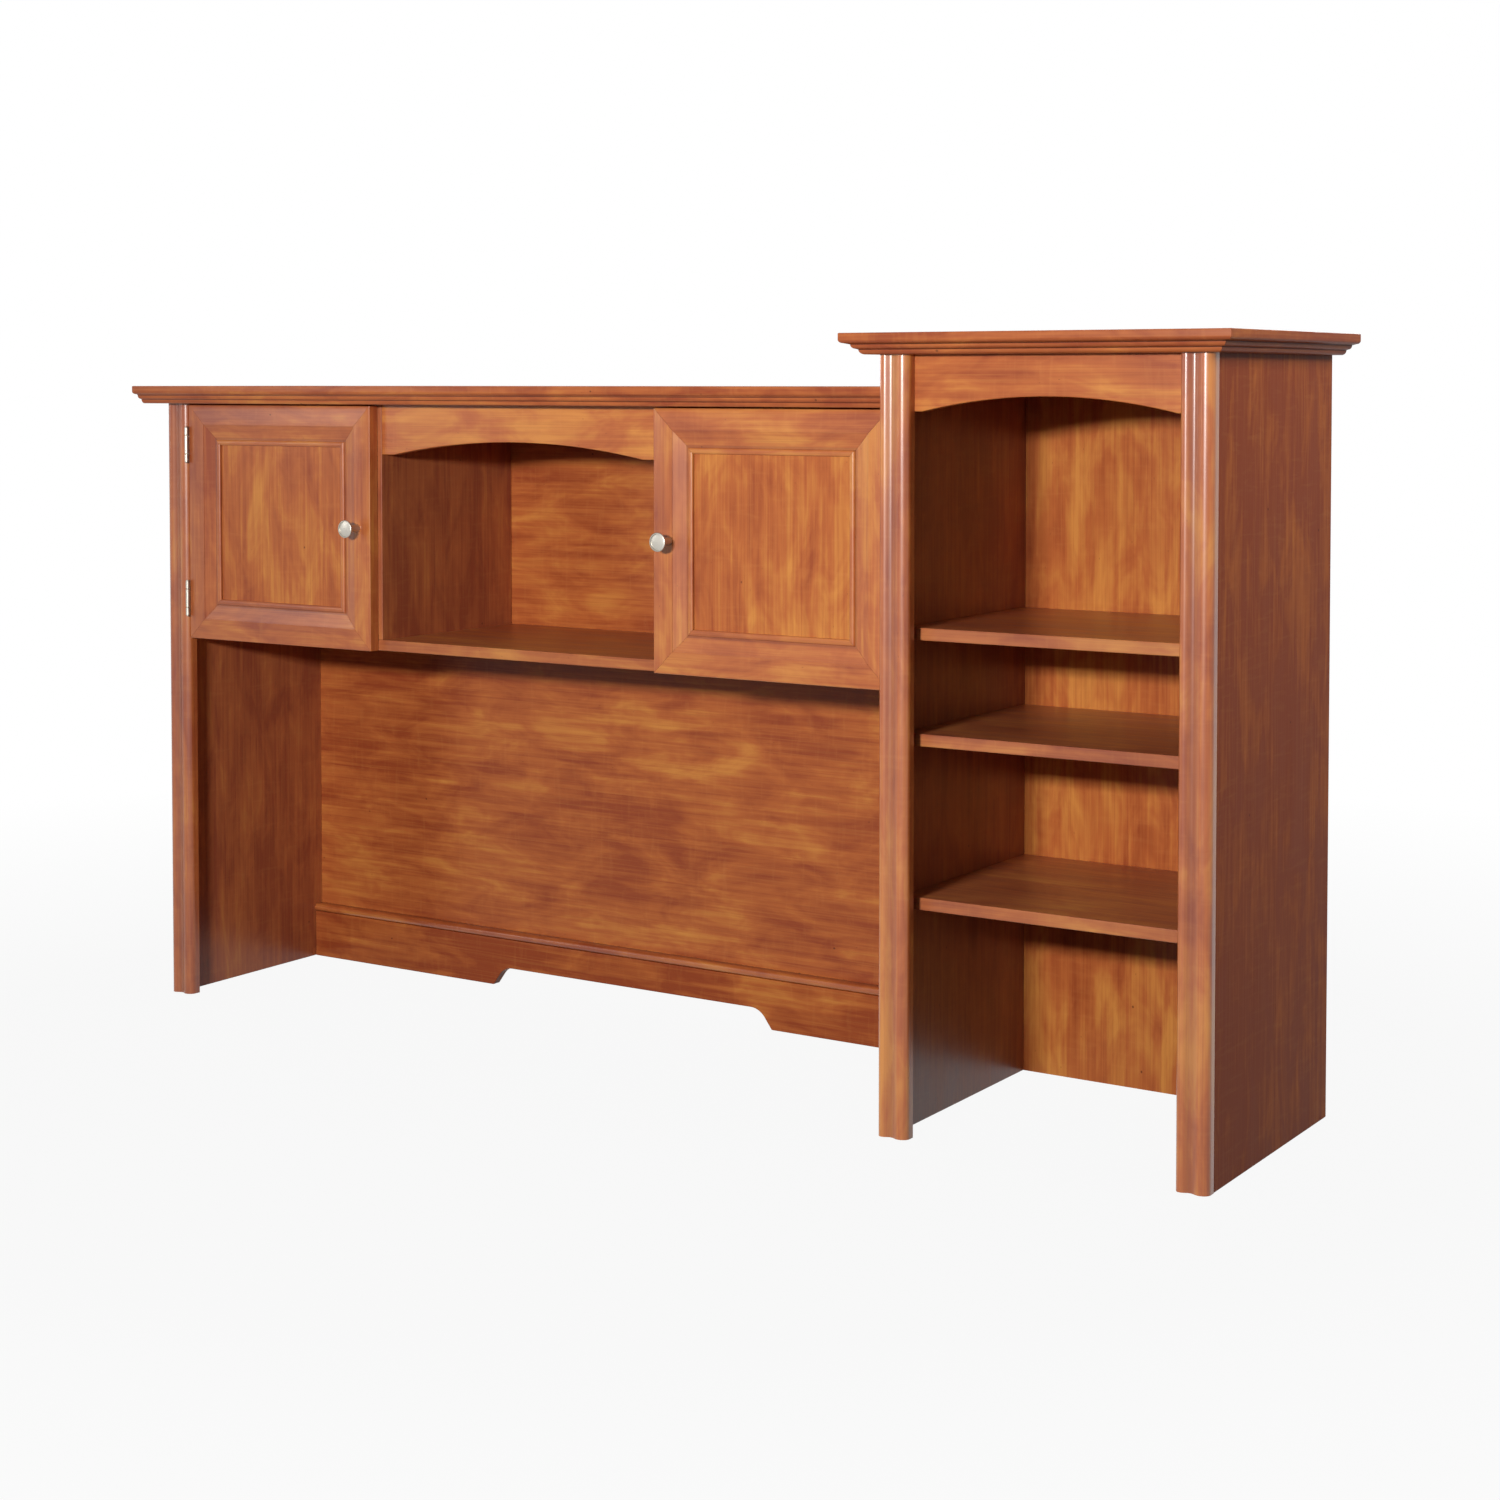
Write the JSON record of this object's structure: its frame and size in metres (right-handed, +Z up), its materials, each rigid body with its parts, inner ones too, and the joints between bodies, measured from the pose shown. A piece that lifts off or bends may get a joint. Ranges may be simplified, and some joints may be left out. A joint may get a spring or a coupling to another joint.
{
  "type": "desk hutch set",
  "caption": "Low desk hutch with panelled doors, arched valance and open desk space, beside a taller open bookcase tower with crown moulding.",
  "frame": {"origin": "middle of the footprint, crown overhang included, on the surface that the set stands on", "axes": "+X to the right seen from the front, +Y to the back, +Z up"},
  "size_m": [2.184, 0.5093, 1.21],
  "materials": {
    "cherry_wood": "reddish cherry stain under satin lacquer",
    "cherry_panel": "cherry veneer, stained, satin lacquer",
    "nickel": "satin nickel plate",
    "zinc_plated_steel": "bright zinc plate",
    "catch_plastic": "moulded"
  },
  "bodies": {
    "carcass": {"hutch_left_side": "cherry_wood", "hutch_right_side": "cherry_wood", "hutch_left_pilaster": "cherry_wood", "hutch_top": "cherry_wood", "hutch_top_rail": "cherry_wood", "hutch_crown_front": "cherry_wood", "hutch_crown_left": "cherry_wood", "hutch_cabinet_floor": "cherry_wood", "hutch_left_partition": "cherry_wood", "hutch_right_partition": "cherry_wood", "hutch_valance": "cherry_wood", "hutch_back_panel": "cherry_panel", "hutch_back_bead": "cherry_wood", "hutch_apron": "cherry_wood", "left_upper_hinge_frame_leaf": "nickel", "left_lower_hinge_frame_leaf": "nickel", "right_upper_hinge_frame_leaf": "nickel", "right_lower_hinge_frame_leaf": "nickel", "left_upper_hinge_pin": "nickel", "left_lower_hinge_pin": "nickel", "right_upper_hinge_pin": "nickel", "right_lower_hinge_pin": "nickel", "left_catch": "catch_plastic", "right_catch": "catch_plastic", "tower_left_side": "cherry_wood", "tower_right_side": "cherry_wood", "tower_left_pilaster": "cherry_wood", "tower_right_pilaster": "cherry_wood", "tower_top": "cherry_wood", "tower_top_rail": "cherry_wood", "tower_crown_front": "cherry_wood", "tower_crown_left": "cherry_wood", "tower_crown_right": "cherry_wood", "tower_valance": "cherry_wood", "tower_back_panel": "cherry_panel", "tower_upper_shelf": "cherry_wood", "tower_middle_shelf": "cherry_wood", "tower_lower_shelf": "cherry_wood"},
    "left_door": {"left_door_hinge_stile": "cherry_wood", "left_door_knob_stile": "cherry_wood", "left_door_top_rail": "cherry_wood", "left_door_bottom_rail": "cherry_wood", "left_door_panel": "cherry_panel", "left_knob": "nickel", "left_knob_screw": "zinc_plated_steel", "left_upper_hinge_door_leaf": "nickel", "left_lower_hinge_door_leaf": "nickel", "left_strike_plate": "zinc_plated_steel"},
    "right_door": {"right_door_hinge_stile": "cherry_wood", "right_door_knob_stile": "cherry_wood", "right_door_top_rail": "cherry_wood", "right_door_bottom_rail": "cherry_wood", "right_door_panel": "cherry_panel", "right_knob": "nickel", "right_knob_screw": "zinc_plated_steel", "right_upper_hinge_door_leaf": "nickel", "right_lower_hinge_door_leaf": "nickel", "right_strike_plate": "zinc_plated_steel"}
  },
  "joints": [
    {"name": "left_door_swing", "type": "hinge", "parent": "carcass", "child": "left_door", "pos_m": [-0.99625, -0.14235, 0.88], "axis": [0, 0, -1], "range_deg": [0, 110]},
    {"name": "right_door_swing", "type": "hinge", "parent": "carcass", "child": "right_door", "pos_m": [0.49375, -0.14235, 0.88], "axis": [0, 0, 1], "range_deg": [0, 105]}
  ]
}
